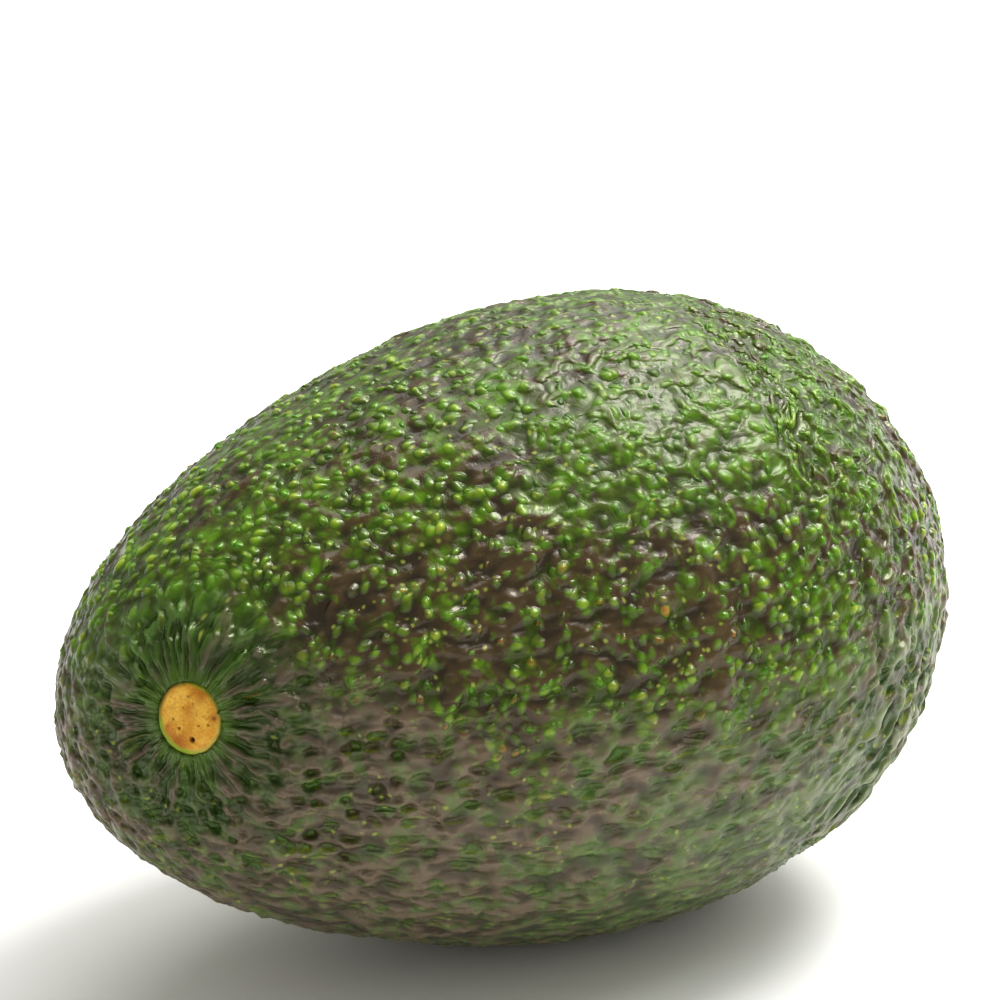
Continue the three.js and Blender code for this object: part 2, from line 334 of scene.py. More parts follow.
# Spots of the skin that are greener or browner than the rest: place along the axis in mm, angle
# round it in degrees, radius in mm, and how much browner (or greener, below zero) they are.
PATCHES = (
    (-13, 31, 8, 0.55),
    (2, 21, 7, 0.5),
    (-27, 36, 7, 0.45),
    (-34, 18, 9, 0.65),
    (-22, 9, 8, 0.6),
    (12, 30, 5, 0.4),
    (34, 24, 5, 0.4),
    (18, 12, 9, -0.5),
    (-5, 3, 6, -0.35),
    (-45, 80, 12, -0.7),
    (-38, 62, 10, -0.5),
    (-46, -10, 6, -0.5),
    (8, 48, 14, -0.5),
    (28, 42, 13, -0.45),
    (-12, -16, 12, -0.15),
    (-4, -44, 15, -0.3),
    (32, -14, 15, -0.5),
    (16, -36, 17, -0.5),
    (9, -14, 13, -0.4),
    (-30, -34, 16, 0.7),
    (50.7, 0, 4, 0.9),  # the scar of the blossom
)
PATCH_EDGE = (1.3, 0.3)  # a spot starts and is whole at these shares of its radius

# The fields kept on the skin's points, and what each part of them holds.
FIELDS = {
    "grain": (),  # where pebbles and furrows are read, in mm: fanned out round the stem
    "run": (),  # where folds and pits are read, in mm: plainly along the fruit
    "kinds": ("wrinkled", "under", "near stem"),
    "tints": ("ripe", "drift", "lumps"),
    "marks": ("netted", "distance", "end"),
}


def off_stem(add, plan, at, seat):
    """How far up the stem's line a point is from its seat, and the way to it from that line."""
    away = add("VectorMath.SUBTRACT", at, seat)
    along = add("VectorMath.DOT_PRODUCT", away, plan.stem_axis)
    axial = add("VectorMath.SCALE", plan.stem_axis, along)
    return along, add("VectorMath.SUBTRACT", away, axial)


def skin_layout(add, plan, sizes):
    """Fields of the plain egg: the swayed position that patterns are read at, and the masks."""
    position = add("GeometryNodeInputPosition")
    at = add("VectorMath.SCALE", position, 1 / MM)
    place = add("SeparateXYZ", at)

    # Distance from the stem's line, and the way round it.
    along, flat = off_stem(add, plan, at, plan.stem_seat / MM)
    length = add("VectorMath.LENGTH", flat)
    start, whole, far_off = BEHIND
    behind = add("MapRange", along, start, whole, 0.0, far_off, interpolation_type="SMOOTHSTEP")
    distance = add("Math.ADD", behind, length)
    unit = add("VectorMath.NORMALIZE", flat)
    cosine = add("VectorMath.DOT_PRODUCT", unit, plan.across)
    sine = add("VectorMath.DOT_PRODUCT", unit, plan.up)

    # Slow noises, which make every border stray.
    noises = {
        name: add("TexNoise", at, 1 / size, *finish) for name, (size, *finish) in LAYOUT_NOISES.items()
    }
    lumps = add("TexNoise", at, add("Math.DIVIDE", MM, sizes["lump_width"]), LUMP_DETAIL)
    wander = add("Math.SUBTRACT", noises["drift"], 0.5)
    read = {
        "distance": distance,
        "drift": noises["drift"],
        "height": place.outputs["Z"],
        "across": place.outputs["Y"],
        "level": add("Math.MULTIPLY_ADD", wander, LEVEL_WANDER, place.outputs["Z"]),
        "ahead": add("Math.MULTIPLY_ADD", wander, ALONG_WANDER, place.outputs["X"]),
    }
    add_masks(add, read, LAYOUT_MASKS)

    # The grain: the position in the stem's own frame, drawn out along the furrows near the stem.
    reach = add("Mix", read["opened"], GRAIN_REACH, length, data_type="FLOAT")
    drawn = add("Math.MULTIPLY_ADD", length, GRAIN_DRAW, GRAIN_START)
    depth = add("Mix", read["opened"], drawn, along, data_type="FLOAT")
    sides = [add("Math.MULTIPLY", side, reach) for side in (cosine, sine)]
    grain = add("CombineXYZ", *sides, depth)

    # Wrinkles on the upper blossom half, and a smoother skin underneath, netted in places.
    add_products(add, read, LAYOUT_PRODUCTS)
    wrinkled, netted = read["wrinkled"], read["netted ring"]
    risen = add("Math.MULTIPLY_ADD", read["ring"], NET_RISE, read["level"])
    risen = add("Math.MULTIPLY_ADD", read["end"], END_RISE, risen)
    under = add("MapRange", risen, UNDER_FROM, UNDER_WHOLE, interpolation_type="SMOOTHSTEP")
    under = add("Math.MULTIPLY", under, read["cap"])
    for other in ("blossom", "loose", "band"):
        netted = add("Math.MAXIMUM", netted, read[other])
    netted = add("Math.MULTIPLY", netted, under)

    # Nothing on a grown skin runs true, so the grain is swayed, most where it is wrinkled.
    sway = noises["sway"].outputs["Color"]
    centred = add("VectorMath.ADD", sway, CENTRING)
    width = add("MapRange", wrinkled, 0.0, 1.0, SWAY_PLAIN, SWAY_WRINKLED)
    moved = add("VectorMath.SCALE", centred, width)

    # Ripeness: green on top and browner lower down, in blotches, with the patches above.
    off = add("Math.SUBTRACT", noises["blotch"], 0.5)
    ripe = add("Math.MULTIPLY_ADD", off, BLOTCH_SHARE, read["lower"])
    for x, turn, radius, amount in PATCHES:
        centre = plan.egg_point(x * MM / plan.half, math.radians(turn)) / MM
        gap = add("VectorMath.DISTANCE", at, centre)
        start, whole = (radius * share for share in PATCH_EDGE)
        spot = add("MapRange", gap, start, whole, 0.0, amount, interpolation_type="SMOOTHSTEP")
        ripe = add("Math.ADD", ripe, spot)

    # Folds and pits run aslant towards the blossom end.
    lean = add("VectorMath.DOT_PRODUCT", at, SLANT)
    lean = add("Math.SUBTRACT", lean, SLANT_MIDDLE)
    lean = add("Math.MULTIPLY", lean, read["end"])
    lean = add("VectorMath.SCALE", SLANT, lean)
    run = add("VectorMath.ADD", at, moved)
    return {
        "grain": add("VectorMath.ADD", grain, moved),
        "run": add("VectorMath.MULTIPLY_ADD", lean, (SLANT_SHARE,) * 3, run),
        "kinds": add("CombineXYZ", wrinkled, under, read["near stem"]),
        "tints": add("CombineXYZ", ripe, noises["drift"], lumps),
        "marks": add("CombineXYZ", netted, distance, read["end"]),
        "distance": distance,
        "along": along,
    }


# ---- the skin's relief, one rule for the mesh and the material ----

FOLD_STRETCH, PIT_STRETCH = 0.55, 0.42  # how much slower folds and pits change along the fruit

# Noises of the relief: detail and, where it isn't the usual, roughness.
RELIEF_NOISES = {"fold": (1.0, 0.7), "grain": (3.0, 0.6), "furrow": (1.0,)}
CELL_SHAKE, PIT_SHAKE = 0.88, 0.9  # how far pebbles and pits stand off an even grid

# Masks of the relief, given in the same way.
RELIEF_MASKS = (
    ("size", "chance x", 0.0, 1.0, 0.38, 0.74),  # a pebble's radius, in cells
    ("shrunk", "ripe", 0.0, 1.0, 1.0, 0.86),  # and how much smaller it is where ripe
    ("tall", "chance z", 0.0, 1.0, 0.5, 1.0),
    ("spare", "ripe", 0.0, 1.0, 0.85, 0.8),  # share of cells with a pebble
    ("crest", "roll", -0.02, 0.12, 0.0, 1.0),
    ("rough", "lumps", 0.38, 0.58, 0.35, 1.0),  # crests die out in smoother patches
    ("hole", "pit gap", 0.6, 0.18, 0.0, 1.0),
    ("deep", "luck x", 0.0, 0.7, 0.45, 1.0),
    ("low", "under", 0.0, 1.0, 1.0, 0.45),  # pebbles are lower underneath, where it is
    ("soft", "wrinkled", 0.0, 1.0, 1.0, 0.62),  # wrinkled, and round the stem
    ("close", "near stem", 0.0, 1.0, 1.0, 0.5),
    ("calm", "distance", 3.7, 5.6, 0.35, 1.0),  # furrows run out before they reach the stub
    ("rolling", "ripe", 0.0, 1.0, 0.5, 1.3),  # ripe ground is more folded
)
RELIEF_PRODUCTS = {
    "dome": ("bulge", "grown", "tall"),
    "crested": ("crest", "creased", "rough"),
    "pit": ("hole", "deep", "netted"),  # pits leave a net of ridges
    "furrowed": ("furrow", "near stem", "calm"),
    "share": ("low", "soft", "close"),  # of the pebbles' height
    "rolled": ("roll", "rolling"),
}
PEBBLE_ROUNDNESS, PEBBLE_RAGGED = 1.5, 0.6
PIT_RAGGED = 0.5
LIT_LIP_SIDE = (-0.2, 0.0, -1.0)  # the side of a pit that its lip is on, which gets painted light: below it, towards the stem
SPARED_UNDER = -0.3  # how many fewer pebbles there are underneath
CREASED_UNDER, CREASED_END = 0.8, 1.0  # how high the crests are there, and near the blossom end


def skin_relief(add, read, sizes):
    """Every raw field, mask and tone of the skin at a point, and its height in metres."""
    parts = {}
    for field, names in FIELDS.items():
        if names:
            parts.update(zip(names, add("SeparateXYZ", read[field]).outputs))
    grain = read["grain"]
    pace = {
        name: add("Math.DIVIDE", MM, sizes[name + "_width"])
        for name in ("pebble", "fold", "furrow", "pit", "grain")
    }

    cells = add("TexVoronoi", grain, pace["pebble"], {"Randomness": CELL_SHAKE})
    drawn = {
        name: add("VectorMath.MULTIPLY", read["run"], (stretch, 1.0, 1.0))
        for name, stretch in (("fold", FOLD_STRETCH), ("pit", PIT_STRETCH))
    }
    holes = add("TexVoronoi", drawn["pit"], pace["pit"], {"Randomness": PIT_SHAKE})
    for name, texture in (("chance", cells), ("luck", holes)):
        split = add("SeparateXYZ", texture.outputs["Color"]).outputs
        parts.update((name + " " + axis, split[axis.upper()]) for axis in "xyz")
    noises = {
        name: add("TexNoise", drawn.get(name, grain), pace[name], *finish)
        for name, finish in RELIEF_NOISES.items()
    }
    for name, noise_name in (("roll", "fold"), ("fine", "grain"), ("furrow", "furrow")):
        parts[name] = add("Math.SUBTRACT", noises[noise_name], 0.5)
    from_pit = add("VectorMath.SUBTRACT", drawn["pit"], holes.outputs["Position"])
    parts["pit side"] = add("VectorMath.DOT_PRODUCT", from_pit, LIT_LIP_SIDE)
    parts["fan"] = noises["furrow"]
    parts["cell gap"] = cells.outputs["Distance"]
    parts["pit gap"] = add("Math.MULTIPLY_ADD", parts["fine"], PIT_RAGGED, holes.outputs["Distance"])
    add_masks(add, parts, RELIEF_MASKS)

    # Pebbles, one in each cell or none: fewer where the skin is ripe and fewest underneath.
    gap = add("Math.MULTIPLY_ADD", parts["fine"], PEBBLE_RAGGED, parts["cell gap"])
    reach = add("Math.MULTIPLY", parts["size"], parts["shrunk"])
    fall = add("Math.DIVIDE", gap, reach)
    fall = add("Math.MULTIPLY", fall, fall)
    bulge = add("Math.SUBTRACT", 1.0, fall, use_clamp=True)
    bulge = add("Math.POWER", bulge, PEBBLE_ROUNDNESS)
    spared = add("Math.MULTIPLY_ADD", parts["under"], SPARED_UNDER, parts["spare"])
    grown = add("Math.LESS_THAN", parts["chance y"], spared)

    creased = add("Math.MULTIPLY", parts["under"], CREASED_UNDER)
    creased = add("Math.MAXIMUM", creased, parts["wrinkled"])
    creased = add("Math.MULTIPLY_ADD", parts["end"], CREASED_END, creased)

    parts.update({"bulge": bulge, "grown": grown, "creased": creased})
    add_products(add, parts, RELIEF_PRODUCTS)
    height = add("Math.MULTIPLY", parts["dome"], parts["share"])
    height = add("Math.MULTIPLY", height, sizes["pebble_height"])
    depth = add("Math.MULTIPLY", parts["pit"], sizes["pit_depth"])
    height = add("Math.SUBTRACT", height, depth)
    for name, size in (
        ("rolled", "fold_height"),
        ("crested", "crest_height"),
        ("fine", "grain_height"),
        ("furrowed", "furrow_height"),
    ):
        height = add("Math.MULTIPLY_ADD", parts[name], sizes[size], height)
    parts["height"] = height
    return parts


# ---- the skin's mesh ----

CUBE_GRID = (161, 113, 113)  # points along each edge of the cube that the egg is blown up from
RIM_CATCH, WALL_CATCH = 0.26 * MM, 0.24 * MM  # points this near the socket's edges step onto them
SKIN_SIZES = ("taper", "taper_cubic", "shoulder_radius", "shoulder_core", "shoulder_reach")
SKIN_SIZES += ("hollow_depth", "hollow_radius", "stub_radius", "stub_waist", "stub_depth", "socket_gap")


def labelled(group, keys):
    """The group's values by key, and each key's name as the user sees it."""
    values = {key: getattr(group, key) for key in keys}
    return values, {key: group.bl_rna.properties[key].name for key in keys}


def skin_inputs(plan, relief):
    """The values and the names of the skin tree's inputs, by key."""
    values, names = labelled(plan.form, SKIN_SIZES)
    relief_values, relief_names = labelled(relief, relief.__annotations__)
    values.update(relief_values, half=plan.half, scale=plan.scale)
    names.update(relief_names, half="Half length", scale="Radius scale")
    return values, names


def skin_tree(plan, names, material):
    """The node tree that makes the skin, with the sizes as its inputs."""
    tree = bpy.data.node_groups.new("Pebbled skin", "GeometryNodeTree")
    tree.interface.new_socket("Geometry", in_out="OUTPUT", socket_type="NodeSocketGeometry")
    for name in names.values():
        tree.interface.new_socket(name, in_out="INPUT", socket_type="NodeSocketFloat")
    add = adder(tree)
    given = add("NodeGroupInput").outputs
    sizes = {key: given[name] for key, name in names.items()}

    # A cube, its faces evened out with a tangent, blown up to a ball and drawn out to the egg.
    counts = {"Vertices " + axis: count for axis, count in zip("XYZ", CUBE_GRID)}
    cube = add("GeometryNodeMeshCube", {"Size": (2.0,) * 3, **counts})
    position = add("GeometryNodeInputPosition")
    angle = add("VectorMath.SCALE", position, math.pi / 4)
    evened = add("VectorMath.TANGENT", angle)
    ball = add("VectorMath.NORMALIZE", evened)
    u = add("SeparateXYZ", ball).outputs["X"]
    cubed = add("Math.POWER", u, 3.0)
    full = add("Math.MULTIPLY_ADD", u, sizes["taper"], 1.0)
    full = add("Math.MULTIPLY_ADD", cubed, sizes["taper_cubic"], full)
    girth = add("Math.MULTIPLY", full, sizes["scale"])
    stretch = add("CombineXYZ", sizes["half"], girth, girth)
    egg = add("VectorMath.MULTIPLY", ball, stretch)
    skin = add("GeometryNodeSetPosition", {"Geometry": cube.outputs["Mesh"], "Position": egg})

    # The layout is kept on the mesh, for the relief here and for the material.
    layout = skin_layout(add, plan, sizes)
    for name in FIELDS:
        field = {"Geometry": skin, "Name": name, "Value": layout[name]}
        skin = add("GeometryNodeStoreNamedAttribute", field, data_type="FLOAT_VECTOR", domain="POINT")
    read = {
        name: add("GeometryNodeInputNamedAttribute", {"Name": name}, data_type="FLOAT_VECTOR")
        for name in FIELDS
    }
    parts = skin_relief(add, read, sizes)
    lump = add("Math.SUBTRACT", parts["lumps"], 0.5)
    fields = {
        "Off line": add("Math.MULTIPLY", layout["distance"], MM),
        "Up line": add("Math.MULTIPLY", layout["along"], MM),
        "Height": add("Math.MULTIPLY_ADD", lump, sizes["lump_height"], parts["height"]),
    }
    held = add("GeometryNodeCaptureAttribute", {"Geometry": skin})
    for name, field in fields.items():
        held.capture_items.new("FLOAT", name)
        tree.links.new(field.outputs[0], held.inputs[name])
    off_line = held.outputs["Off line"]

    # The shoulder, part of a ball that faces along the stem, with a hollow round the stub.
    reach, core = sizes["shoulder_reach"], sizes["shoulder_core"]
    squared = add("Math.POWER", sizes["shoulder_radius"], 2.0)
    off_squared = add("Math.MULTIPLY", off_line, off_line)
    rest = add("Math.SUBTRACT", squared, off_squared)
    root = add("Math.POWER", rest, 0.5)
    cap = add("Math.SUBTRACT", root, sizes["shoulder_radius"])
    lift = add("Math.SUBTRACT", cap, held.outputs["Up line"])
    share = add("MapRange", off_line, reach, core, interpolation_type="SMOOTHSTEP")
    near = add("Math.LESS_THAN", off_line, reach)
    lifted = add("Math.MULTIPLY", lift, share)
    lifted = add("Math.MULTIPLY", lifted, near)
    dip = (sizes["hollow_radius"], 0.0, 0.0, sizes["hollow_depth"])
    dip = add("MapRange", off_line, *dip, interpolation_type="SMOOTHSTEP")
    raise_by = add("Math.SUBTRACT", lifted, dip)
    shoulder = add("VectorMath.SCALE", plan.stem_axis, raise_by)
    skin = add("GeometryNodeSetPosition", {"Geometry": held.outputs["Geometry"], "Offset": shoulder})

    raised = add("VectorMath.SCALE", add("GeometryNodeInputNormal"), held.outputs["Height"])
    skin = add("GeometryNodeSetPosition", {"Geometry": skin, "Offset": raised})

    # The socket: points near its rim and its wall step onto them, and those inside the rim sink.
    _, flat = off_stem(add, plan, add("GeometryNodeInputPosition"), plan.stem_seat)
    unit = add("VectorMath.NORMALIZE", flat)
    rim = add("Math.ADD", sizes["stub_radius"], sizes["socket_gap"])
    wall = add("Math.ADD", sizes["stub_waist"], sizes["socket_gap"])
    step = 0.0
    for ring, catch in ((rim, RIM_CATCH), (wall, WALL_CATCH)):
        caught = add("Math.COMPARE", off_line, ring, catch)
        way = add("Math.SUBTRACT", ring, off_line)
        step = add("Math.MULTIPLY_ADD", way, caught, step)
    aside = add("VectorMath.SCALE", unit, step)
    skin = add("GeometryNodeSetPosition", {"Geometry": skin, "Offset": aside})
    lip = add("Math.SUBTRACT", rim, RIM_CATCH)
    inside = add("Math.LESS_THAN", off_line, lip)
    sunk = add("Math.ADD", sizes["stub_depth"], sizes["socket_gap"])
    sink = add("VectorMath.SCALE", -plan.stem_axis, sunk)
    skin = add("GeometryNodeSetPosition", {"Geometry": skin, "Selection": inside, "Offset": sink})

    # The resting pose, and the foot pressed flat on the surface.
    drop, turn, _ = plan.rest_pose.decompose()
    skin = add(
        "GeometryNodeTransform", {"Geometry": skin, "Translation": drop, "Rotation": turn.to_euler()}
    )
    placed = add("SeparateXYZ", add("GeometryNodeInputPosition"))
    floor = add("Math.MAXIMUM", placed.outputs["Z"], 0.0)
    pressed = add("CombineXYZ", placed.outputs["X"], placed.outputs["Y"], floor)
    skin = add("GeometryNodeSetPosition", {"Geometry": skin, "Position": pressed})
    skin = add("GeometryNodeSetShadeSmooth", {"Geometry": skin})
    skin = add("GeometryNodeRealizeInstances", {"Geometry": skin})
    skin = add("GeometryNodeSetMaterial", {"Geometry": skin, "Material": material})
    add("NodeGroupOutput", {"Geometry": skin})
    return tree


# ---- the stub's mesh ----

# Open vessels and cracks in the stub's cut face: place across it and up it, radius and depth in mm.
PORES = (
    (-2.07, 0.04, 0.38, 0.6),
    (-0.71, -1.05, 0.2, 0.22),
    (0.29, -1.49, 0.17, 0.16),
    (1.19, -0.02, 0.14, 0.1),
    (2.15, 0.76, 0.15, 0.14),
    (-0.87, 1.19, 0.17, 0.14),
    (1.37, 1.11, 0.13, 0.1),
    (-0.5, 3.0, 0.3, 0.1),
    (-1.0, 2.2, 0.2, 0.12),
)
STUB_SIDES = 150
WALL_RINGS, FLARE_RINGS, FACE_RINGS = 5, 5, 46
FACE_BEND = 2 / 3  # of the face's outline: a low dome that runs over into a rounded edge
OUT_OF_ROUND = 0.018  # share of the radius
WAVE_PACE, WAVE_PLACE = 1.3, 4.0  # how often the stub's side bulges, and where its noise is read
PLAIN_BELOW = -1.2 * MM  # the stub's wall is smooth below this, where the socket hides it
CORK_COARSE, CORK_FINE = (1.1, 0.07), (4.5, 0.035)  # the cork's unevenness: bumps per mm, mm high


def stub_outline(form):
    """Radius and height of the stub's outline, from its foot to the middle of its face."""
    rise = form.stub_depth - form.stub_flare
    outline = []
    for i in range(WALL_RINGS):
        outline.append((form.stub_waist, -form.stub_depth + rise * i / (WALL_RINGS - 1)))
    for i in range(1, FLARE_RINGS + 1):
        t = i / (FLARE_RINGS + 1)
        radius = form.stub_waist + (form.stub_radius - form.stub_waist) * t
        outline.append((radius, -form.stub_flare + (form.stub_flare - form.stub_edge) * t))
    for i in range(FACE_RINGS):
        turn = i / FACE_RINGS * math.pi / 2
        radius = form.stub_radius * math.cos(turn) ** FACE_BEND
        rise = (form.stub_edge + form.stub_crown) * math.sin(turn) ** FACE_BEND
        outline.append((radius, rise - form.stub_edge))
    return outline


def stub_point(x, y, height):
    """A point of the stub with the cork's grain on it and the pores sunk in."""
    if height < PLAIN_BELOW:
        return (x, y, height)
    at = Vector((x, y, 0)) / MM
    pace, size = CORK_COARSE
    grain = size * noise.fractal(at * pace, 1.0, 2.0, 4)
    pace, size = CORK_FINE
    grain += size * noise.noise(at * pace)
    for px, py, radius, depth in PORES:
        gap = (at - Vector((px, py, 0))).length / radius
        grain -= depth * max(0.0, 1 - gap**2) ** 2
    return (x, y, height + grain * MM)


def stub_mesh(plan):
    """The clipped stub, turned up from its outline, with a grained and pored face."""
    form = plan.form
    outline = stub_outline(form)
    points = []
    for radius, height in outline:
        for k in range(STUB_SIDES):
            angle = 2 * math.pi * k / STUB_SIDES
            way = Vector((math.cos(angle), math.sin(angle)))
            wave = 1 + OUT_OF_ROUND * noise.noise((*(WAVE_PACE * way), WAVE_PLACE))
            points.append(stub_point(*(wave * radius * way), height))
    points.append(stub_point(0.0, 0.0, form.stub_crown))
    faces = [tuple(reversed(range(STUB_SIDES)))]
    for ring in range(len(outline) - 1):
        for k in range(STUB_SIDES):
            a, b = ring * STUB_SIDES + k, ring * STUB_SIDES + (k + 1) % STUB_SIDES
            faces.append((a, b, b + STUB_SIDES, a + STUB_SIDES))
    last, middle = (len(outline) - 1) * STUB_SIDES, len(points) - 1
    faces += [(last + k, last + (k + 1) % STUB_SIDES, middle) for k in range(STUB_SIDES)]
    mesh = bpy.data.meshes.new("stub")
    mesh.from_pydata(points, [], faces)
    rest = mesh.attributes.new("rest", "FLOAT_VECTOR", "POINT")
    rest.data.foreach_set("vector", [c / MM for p in points for c in p])
    mesh.shade_smooth()
    place = Matrix((plan.across, plan.up, plan.stem_axis)).transposed().to_4x4()
    seat = plan.stem_seat - form.hollow_depth * plan.stem_axis
    mesh.transform(plan.rest_pose @ Matrix.Translation(seat) @ place)
    mesh.flip_normals()  # the stub's own frame is left-handed, which turns its faces inwards
    mesh.update()
    return mesh


# ---- materials ----

# Masks of the skin's colour, given in the same way.
COLOUR_MASKS = (
    ("flank", "dome", 0.0, 0.45, 0.0, 0.8),
    ("top", "dome", 0.1, 0.85, 0.0, 0.95),
    ("plain", "wrinkled", 0.0, 1.0, 1.0, 0.4),  # pebbles stand out less where it is wrinkled
    # painted shade: the ground darkens away from a pebble's middle, in the gaps between pebbles
    ("gap shade", "cell gap", 0.3, 0.75, 1.0, 0.68),
    ("gap ripe", "cell gap", 0.35, 0.7, 0.0, 0.45),  # ground well away from a pebble is riper
    # painted shade in the folds' valleys and painted light on their tops
    ("valley", "roll", -0.14, 0.1, 0.44, 1.2),
    # the underside's colour, partly a painted sheen
    ("dull", "under", 0.0, 1.0, 0.0, 0.75),
    # painted shade in the pits
    ("sunk", "pit", 0.0, 0.8, 0.0, 1.0),
    # painted light on the lower lips of some pits, with the next two masks
    ("lip in", "pit side", 0.12, 0.4, 0.0, 1.0),
    ("lip out", "pit gap", 0.62, 0.4, 0.0, 1.0),
    ("lipped", "luck y", 0.42, 0.3, 0.0, 0.6),
    # pale wax and painted sheen on the ridges near the blossom end
    ("bloom", "hole", 0.5, 0.0, 0.0, 0.24),
    ("beneath", "under", 0.55, 1.0, 0.0, 1.0),
    ("flecks", "fine", -0.11, 0.05, 0.2, 1.0),  # the greenest flecks of ripe skin
    ("deep green", "near stem", 0.0, 1.0, 0.0, 0.85),
    # the ridges take the ridge colour, the low parts between them the painted furrow shade
    ("ridge", "fan", 0.42, 0.66, 0.0, 1.0),
    ("collar", "distance", 6.2, 3.9, 0.0, 0.8),  # mm from the stem's line
    ("crowd", "drift", 0.42, 0.66, 0.02, 0.56),
    ("dot", "pore gap", 0.32, 0.06, 0.0, 0.68),
    ("rust chance", "chance z", 0.84, 0.92, 0.0, 1.0),
    ("rust ripe", "ripe", 0.55, 0.95, 0.0, 0.7),
)
COLOUR_PRODUCTS = {
    "rust": ("rust chance", "rust ripe", "top"),  # before the top is made plainer
    "flank": ("flank", "plain"),
    "top": ("top", "plain"),
    "shown": ("dot", "picked"),
    "bloom": ("bloom", "crest", "end", "beneath"),
    # painted light on the lower lips of the netted pits
    "lip": ("lip in", "lip out", "lipped", "netted"),
}
MOTTLE = 3.2  # how far the fine unevenness sways the ripeness
TURNING = (1.1, -1.0)  # share of a pebble's chance that ripens it, and how green it starts
PORE_SPACING = 1.1  # mm between breathing pores, drawn as often as they are seen
WAX_ROUGHNESS, DRY_ROUGHNESS, WAX_IOR = 0.25, 0.36, 1.44
WRINKLES_PALE = 0.6  # how far wrinkled skin takes the ripe skin's gloss
END_CLEAR = 0.9  # how far the haze of wrinkled skin clears towards the blossom end


def skin_material(relief, colours):
    """Waxy skin, grown: a clear gloss with sharp glints on the pebbles, greener and browner in
    blotches, and a duller, drier surface underneath where the pits and their lips show. Painted
    shade darkens the gaps between pebbles, the folds' valleys, the furrows round the stem and the
    pits, and painted light brightens the folds' tops and the pits' lower lips; the underside's
    greyer colour and the pale coat on the ridges near the blossom end are partly a painted sheen."""
    material, add = new_material("Waxy avocado skin, grown")
    read = {name: add("Attribute", attribute_name=name).outputs["Vector"] for name in FIELDS}
    sizes, _ = labelled(relief, relief.__annotations__)
    parts = skin_relief(add, read, sizes)
    lenticels = add("TexVoronoi", read["grain"], 1 / PORE_SPACING, {"Randomness": 1.0})
    pick = add("SeparateXYZ", lenticels.outputs["Color"]).outputs["X"]
    parts["pore gap"] = lenticels.outputs["Distance"]
    add_masks(add, parts, COLOUR_MASKS)

    # How ripe it is here, mottled, and how ripe the pebble here is.
    ripe = add("Math.MULTIPLY_ADD", parts["fine"], MOTTLE, parts["ripe"], use_clamp=True)
    ripe = add("Math.MULTIPLY", ripe, parts["flecks"])
    turned = add("Math.MULTIPLY_ADD", parts["chance z"], *TURNING)
    turned = add("Math.ADD", ripe, turned, use_clamp=True)
    gap_ripe = add("Math.ADD", ripe, parts["gap ripe"], use_clamp=True)

    hazy = add("Math.MULTIPLY_ADD", parts["end"], -END_CLEAR, parts["wrinkled"], use_clamp=True)
    pale = add("Math.MULTIPLY_ADD", hazy, WRINKLES_PALE, ripe, use_clamp=True)
    pale = add("Math.MAXIMUM", pale, parts["under"])

    # Each tone runs between two colours.
    tones = {}
    for name, share, one, other in (
        ("ground", gap_ripe, "ground_green", "ground_ripe"),
        ("green top", parts["chance x"], "top_deep", "top_light"),
        ("dull", ripe, "underside_green_and_sheen", "underside_ripe_and_sheen"),
        ("pit", ripe, "pit_shade_green", "pit_shade_ripe"),
        ("ridge", ripe, "furrow_high", "furrow_ripe"),
        ("gloss", pale, "gloss_green", "gloss_ripe"),
    ):
        tones[name] = add("Mix", share, getattr(colours, one), getattr(colours, other), data_type="RGBA")
    pit = add("Mix", parts["end"], tones["pit"], colours.pit_shade_faded, data_type="RGBA")
    ripened = add("Mix", turned, tones["green top"], colours.top_ripe, data_type="RGBA")
    # painted shade in the furrows, the ridge colour on their ridges
    furrow = add("Mix", parts["ridge"], colours.furrow_shade, tones["ridge"], data_type="RGBA")

    parts["picked"] = add("Math.LESS_THAN", pick, parts["crowd"])
    add_products(add, parts, COLOUR_PRODUCTS)

    # The coats of colour, each laid over the last, with painted shade in the gaps between pebbles
    # and painted shade and light on the folds between them.
    coat = tones["ground"]
    parts["all"] = 1.0
    for share, over, *shade in (
        ("flank", colours.flank),
        ("top", ripened),
        ("rust", colours.top_rust),
        # painted shade in the gaps between pebbles
        ("all", parts["gap shade"], "MULTIPLY"),
        # the underside's colour, partly a painted sheen
        ("dull", tones["dull"]),
        # painted shade in the folds' valleys, painted light on their tops
        ("all", parts["valley"], "MULTIPLY"),
        # painted shade in the pits
        ("sunk", pit),
        # painted light on the pits' lower lips
        ("lip", colours.pit_lit_lip),
        # pale wax and painted sheen on the ridges near the blossom end
        ("bloom", colours.bloom),
        # deep green round the stem, with painted shade in its furrows
        ("deep green", furrow),
        ("collar", colours.collar),
        ("shown", colours.lenticel),
    ):
        blend = shade[0] if shade else "MIX"
        coat = add("Mix", parts[share], coat, over, data_type="RGBA", blend_type=blend)

    bump = add("Bump", {"Height": parts["height"], "Distance": 1.0, "Strength": 1.0})
    rough = add("Math.MAXIMUM", parts["under"], hazy)
    surface = {
        "Base Color": coat,
        "Roughness": add("MapRange", rough, 0.0, 1.0, WAX_ROUGHNESS, DRY_ROUGHNESS),
        "IOR": WAX_IOR,
        "Specular Tint": tones["gloss"],
        "Normal": bump,
    }
    add("OutputMaterial", add("BsdfPrincipled", surface))
    return material


